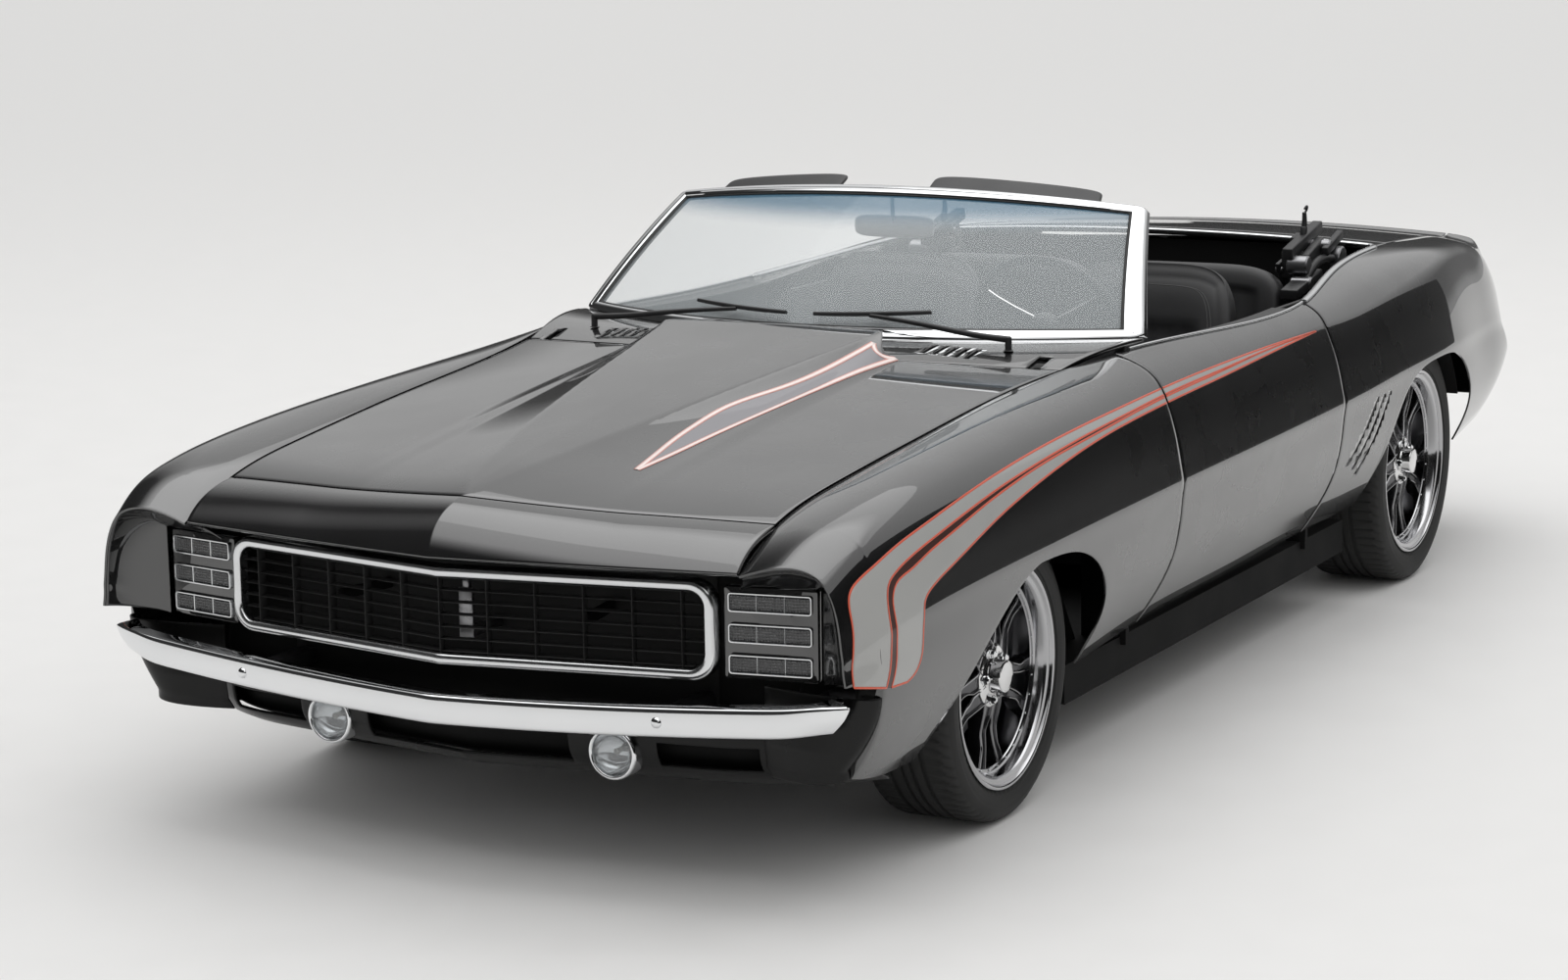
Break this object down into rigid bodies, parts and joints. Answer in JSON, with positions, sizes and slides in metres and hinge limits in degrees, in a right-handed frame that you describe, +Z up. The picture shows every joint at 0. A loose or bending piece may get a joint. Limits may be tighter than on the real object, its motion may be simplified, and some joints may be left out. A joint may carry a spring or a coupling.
{
  "type": "muscle car",
  "caption": "Open two-door muscle car with hidden headlamps, raised hood centre, bucket seats, opening doors, hood and trunk lid, steered front wheels and folded top.",
  "frame": {"origin": "on the ground, under the middle of the car's length and width", "axes": "+X forward along the car, +Y to the driver's left, +Z up"},
  "size_m": [4.724, 1.8758, 1.2444],
  "materials": {
    "body_paint": "gloss",
    "chrome": "mirror polish",
    "bright_trim": "satin",
    "dark_trim": "satin",
    "glass": "clear",
    "lamp_glass": "ribbed",
    "lamp_red": "gloss",
    "black_leather": "fine grain",
    "cabin_plastic": "satin",
    "top_cloth": "woven",
    "running_gear": "satin",
    "bare_steel": "satin",
    "tyre": "matt",
    "wheel_alloy": "polished"
  },
  "bodies": {
    "chassis": {"floor_pan": "dark_trim", "fender_left": "body_paint", "fender_right": "body_paint", "nose_panel": "body_paint", "engine_bay": "dark_trim", "grille": "dark_trim", "grille_surround": "bright_trim", "headlamp_covers": "dark_trim", "front_bumper": "chrome", "front_valance": "dark_trim", "parking_lamps": "lamp_glass", "cowl_panel": "body_paint", "windshield_frame": "chrome", "windshield_glass": "glass", "wipers": "dark_trim", "visors_and_mirror": "black_leather", "dashboard": "cabin_plastic", "front_seats": "black_leather", "rear_seat": "black_leather", "folded_top": "top_cloth", "quarter_left": "body_paint", "quarter_right": "body_paint", "deck_panel": "body_paint", "tail_panel": "body_paint", "tail_lamps": "lamp_red", "rear_bumper": "chrome", "engine": "running_gear", "exhaust": "bare_steel", "front_suspension": "running_gear", "rear_axle": "running_gear"},
    "wheel_front_left": {"tyre_front_left": "tyre", "rim_front_left": "wheel_alloy"},
    "wheel_front_right": {"tyre_front_right": "tyre", "rim_front_right": "wheel_alloy"},
    "wheel_rear_left": {"tyre_rear_left": "tyre", "rim_rear_left": "wheel_alloy"},
    "wheel_rear_right": {"tyre_rear_right": "tyre", "rim_rear_right": "wheel_alloy"},
    "door_left": {"door_left": "body_paint"},
    "door_right": {"door_right": "body_paint"},
    "hood": {"hood": "body_paint"},
    "trunk_lid": {"trunk_lid": "body_paint"},
    "steering_wheel": {"steering_wheel": "cabin_plastic"},
    "knuckle_left": {"knuckle_left": "running_gear"},
    "knuckle_right": {"knuckle_right": "running_gear"}
  },
  "joints": [
    {"name": "steer_left", "type": "hinge", "parent": "chassis", "child": "knuckle_left", "pos_m": [1.43, 0.685, 0.314], "axis": [0, 0, 1], "range_deg": [-30, 30]},
    {"name": "steer_right", "type": "hinge", "parent": "chassis", "child": "knuckle_right", "pos_m": [1.43, -0.685, 0.314], "axis": [0, 0, 1], "range_deg": [-30, 30]},
    {"name": "steering_wheel_turn", "type": "hinge", "parent": "chassis", "child": "steering_wheel", "pos_m": [0.12, 0.365, 0.868], "axis": [-0.9135, 0, 0.4067], "range_deg": [-480, 480]},
    {"name": "spin_front_left", "type": "hinge", "parent": "knuckle_left", "child": "wheel_front_left", "pos_m": [1.43, 0.75, 0.314], "axis": [0, 1, 0], "continuous": true},
    {"name": "spin_front_right", "type": "hinge", "parent": "knuckle_right", "child": "wheel_front_right", "pos_m": [1.43, -0.75, 0.314], "axis": [0, 1, 0], "continuous": true},
    {"name": "spin_rear_left", "type": "hinge", "parent": "chassis", "child": "wheel_rear_left", "pos_m": [-1.313, 0.745, 0.338], "axis": [0, 1, 0], "continuous": true},
    {"name": "spin_rear_right", "type": "hinge", "parent": "chassis", "child": "wheel_rear_right", "pos_m": [-1.313, -0.745, 0.338], "axis": [0, 1, 0], "continuous": true},
    {"name": "door_left_open", "type": "hinge", "parent": "chassis", "child": "door_left", "pos_m": [0.56, 0.875, 0.605], "axis": [0, 0, -1], "range_deg": [0, 65]},
    {"name": "door_right_open", "type": "hinge", "parent": "chassis", "child": "door_right", "pos_m": [0.56, -0.875, 0.605], "axis": [0, 0, 1], "range_deg": [0, 65]},
    {"name": "hood_open", "type": "hinge", "parent": "chassis", "child": "hood", "pos_m": [0.79, 0, 0.8662], "axis": [0, -1, 0], "range_deg": [0, 50]},
    {"name": "trunk_lid_open", "type": "hinge", "parent": "chassis", "child": "trunk_lid", "pos_m": [-1.515, 0, 0.91785], "axis": [0, 1, 0], "range_deg": [0, 70]}
  ],
  "couplings": [
    {"joint": "steer_right", "follows": "steer_left", "ratio": 1},
    {"joint": "steering_wheel_turn", "follows": "steer_left", "ratio": 16}
  ]
}
